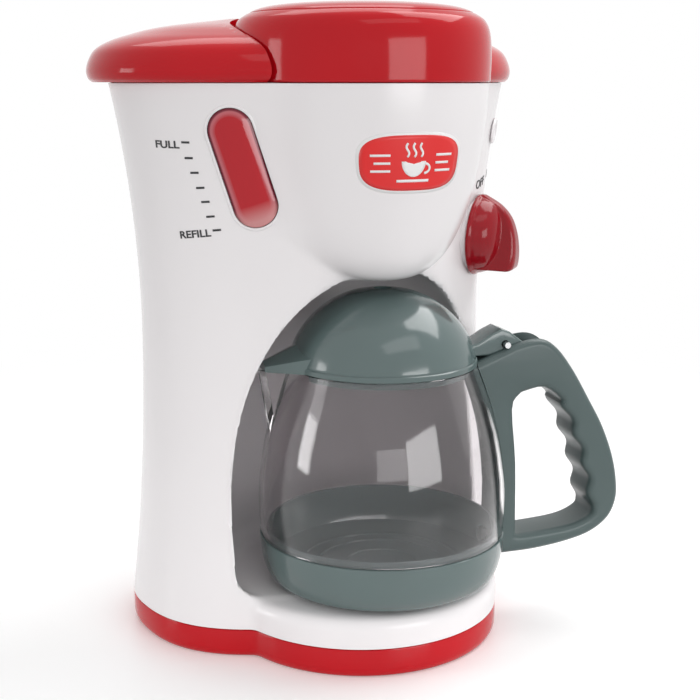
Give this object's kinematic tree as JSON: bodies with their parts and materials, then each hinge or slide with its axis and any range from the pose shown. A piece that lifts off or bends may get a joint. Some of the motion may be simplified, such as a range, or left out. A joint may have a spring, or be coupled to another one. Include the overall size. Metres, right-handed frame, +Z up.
{
  "type": "toy coffee maker",
  "caption": "Toy filter coffee maker with a hinged brew lid, lift-out filter basket, turning switch knob and a lidded jug that slides off its warming plate.",
  "frame": {"origin": "on the base tray's flat underside, on the machine's left-right middle plane, level with the front edge of the tower's middle", "axes": "+Z up, the jug bay and brew head face -Y, +X is the side with the knob"},
  "size_m": [0.179, 0.1548, 0.2317],
  "materials": {
    "body_white": "smooth moulded gloss",
    "body_red": "smooth moulded gloss",
    "knob_red": "smooth moulded gloss",
    "lens_red": "clear red moulding",
    "smoke_clear": "clear moulding with a slight smoke tint",
    "jug_grey": "smooth moulded, grey-green",
    "basket_grey": "fine moulded grain",
    "lamp_clear": "clear moulding",
    "black_plastic": "plain",
    "board_green": "coated laminate",
    "cell_blue": "printed sleeve",
    "screw_steel": "zinc plated"
  },
  "bodies": {
    "machine": {"front_housing": "body_white", "rear_cover": "body_white", "window_backing": "body_white", "indicator_ring": "body_white", "bay_liner": "body_white", "brew_bowl": "body_white", "base_tray": "body_red", "rear_lid": "body_red", "window_lens": "lens_red", "window_lamp": "lamp_clear", "indicator_led": "black_plastic", "rotary_switch": "black_plastic", "speaker": "black_plastic", "speaker_clamp": "black_plastic", "circuit_board": "board_green", "cell_1": "cell_blue", "cell_2": "cell_blue", "contact_link": "screw_steel", "contact_positive": "screw_steel", "contact_negative": "screw_steel", "contact_spring_1": "screw_steel", "contact_spring_2": "screw_steel", "cover_screw_1": "screw_steel", "cover_screw_2": "screw_steel", "cover_screw_3": "screw_steel", "cover_screw_4": "screw_steel", "tray_screw_1": "screw_steel", "tray_screw_2": "screw_steel", "tray_screw_3": "screw_steel", "tray_screw_4": "screw_steel", "board_screw_1": "screw_steel", "board_screw_2": "screw_steel", "clamp_screw_1": "screw_steel", "clamp_screw_2": "screw_steel", "lid_hinge_pin": "screw_steel"},
    "front_lid_body": {"front_lid": "body_red"},
    "basket": {"filter_basket": "basket_grey"},
    "selector": {"knob": "knob_red", "knob_stem": "body_white"},
    "back_door": {"battery_door": "body_white", "battery_door_screw": "screw_steel"},
    "jug": {"jug_cup": "jug_grey", "jug_glass": "smoke_clear", "jug_handle": "jug_grey", "jug_lid_pin": "screw_steel", "handle_screw": "screw_steel"},
    "jug_lid_body": {"jug_lid": "jug_grey"}
  },
  "joints": [
    {"name": "front_lid_hinge", "type": "hinge", "parent": "machine", "child": "front_lid_body", "pos_m": [0, 0.0304, 0.2263], "axis": [-1, 0, 0], "range_deg": [0, 80]},
    {"name": "basket_lift", "type": "slide", "parent": "machine", "child": "basket", "axis": [0, 0, 1], "range_m": [0, 0.018]},
    {"name": "knob_turn", "type": "hinge", "parent": "machine", "child": "selector", "pos_m": [0.051, -0.01915, 0.147], "axis": [0.5731, -0.8175, -0.0575], "range_deg": [-60, 0]},
    {"name": "battery_door_hinge", "type": "hinge", "parent": "machine", "child": "back_door", "pos_m": [0, 0.06644, 0.032], "axis": [-1, 0, 0], "range_deg": [0, 60]},
    {"name": "jug_slide", "type": "slide", "parent": "machine", "child": "jug", "axis": [0, -1, 0], "range_m": [0, 0.15]},
    {"name": "jug_lid_hinge", "type": "hinge", "parent": "jug", "child": "jug_lid_body", "pos_m": [0.04649, -0.04095, 0.109], "axis": [0.2924, 0.9563, 0], "range_deg": [0, 2]}
  ]
}
